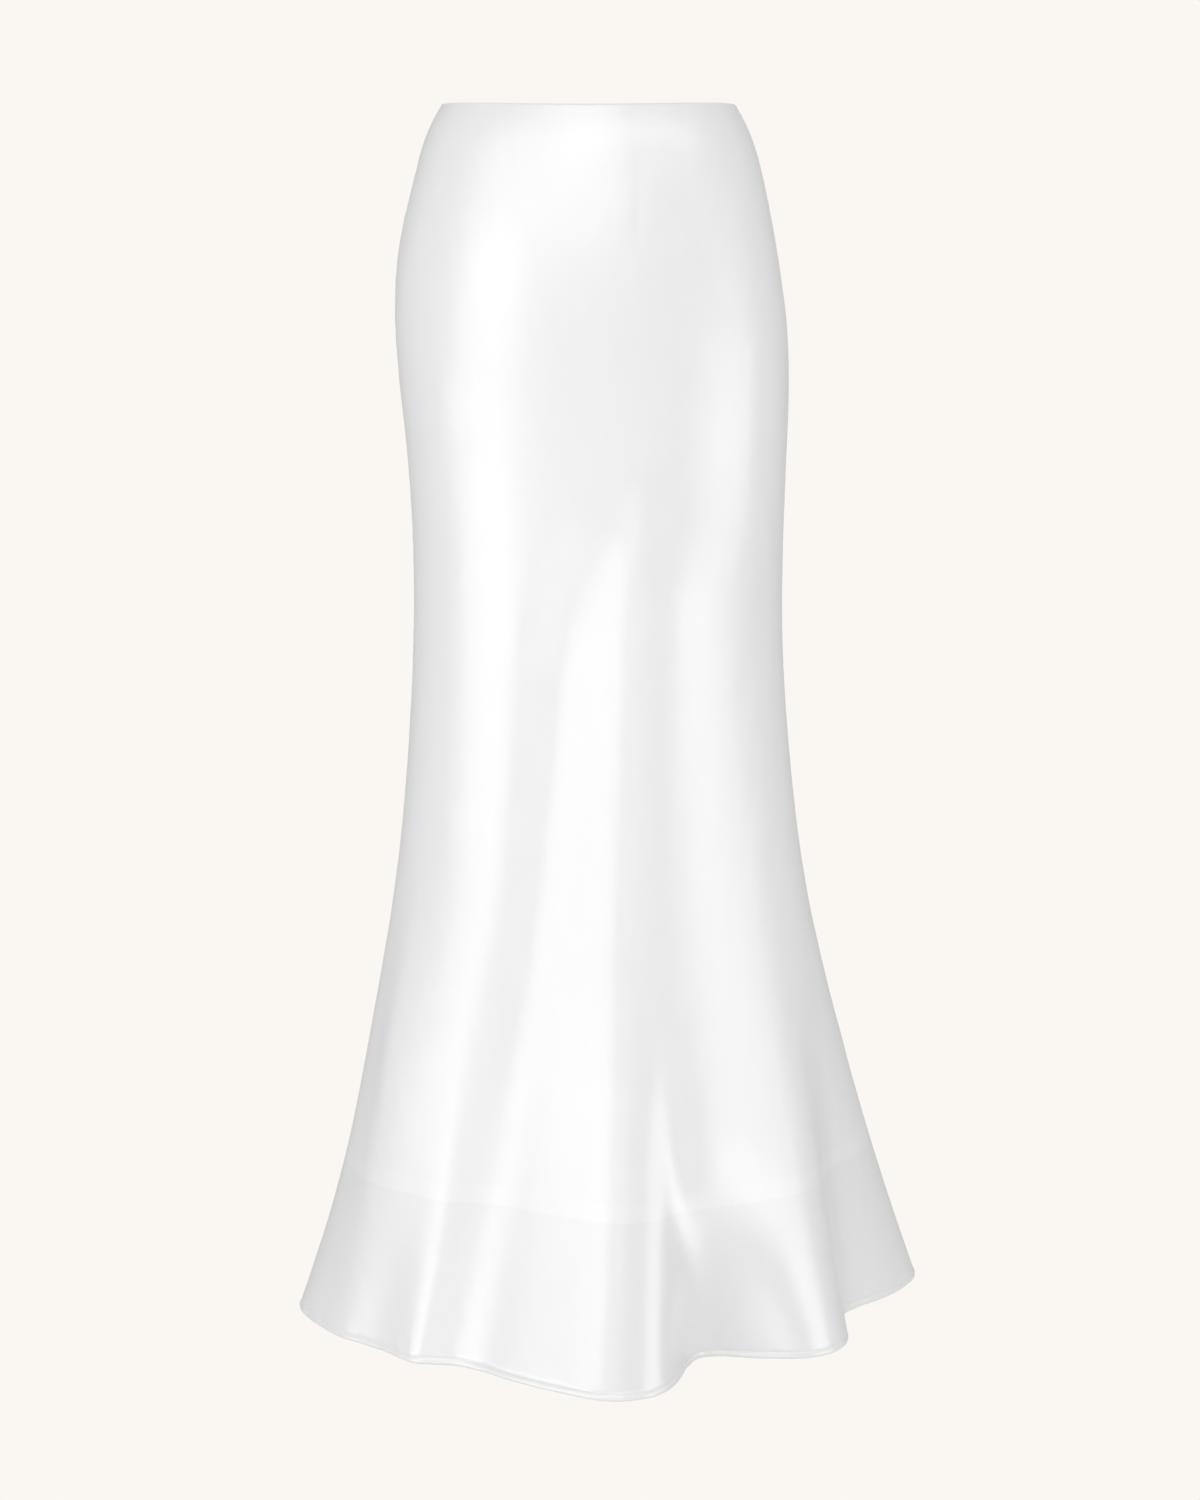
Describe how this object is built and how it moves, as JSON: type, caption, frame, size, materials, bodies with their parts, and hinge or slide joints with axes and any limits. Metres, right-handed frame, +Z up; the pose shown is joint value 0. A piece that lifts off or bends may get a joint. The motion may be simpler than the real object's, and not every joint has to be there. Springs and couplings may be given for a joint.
{
  "type": "mermaid fishtail skirt",
  "caption": "Full-length satin skirt cut on the bias: close over waist, hips and thighs, then flaring into uneven flutes, over a shorter lining, with a centre-back zip.",
  "frame": {"origin": "middle of the waist opening, level with the waist edge at the sides, where the wearer's waist holds the skirt", "axes": "+Z up towards the waist, +X to the wearer's left, -Y to the front"},
  "size_m": [0.5587, 0.5224, 1.0534],
  "materials": {
    "satin": "white charmeuse satin, glossy outside, matt inside, cut on the bias",
    "lining": "off-white thin plain-weave lining",
    "zip_tape": "white woven zip tape",
    "zip_coil": "white nylon coil",
    "zip_metal": "white enamelled zinc slider and pull"
  },
  "bodies": {
    "skirt": {"front_panel": "satin", "back_panel_left": "satin", "back_panel_right": "satin", "lining_front": "lining", "lining_back_left": "lining", "lining_back_right": "lining", "zip_tape_left": "zip_tape", "zip_tape_right": "zip_tape", "zip_coil": "zip_coil", "zip_slider": "zip_metal"},
    "pull": {"zip_pull": "zip_metal"}
  },
  "joints": [
    {"name": "zip_pull_flip", "type": "hinge", "parent": "skirt", "child": "pull", "pos_m": [0, 0.10234, -0.00798], "axis": [1, 0, 0], "range_deg": [0, 150]}
  ]
}
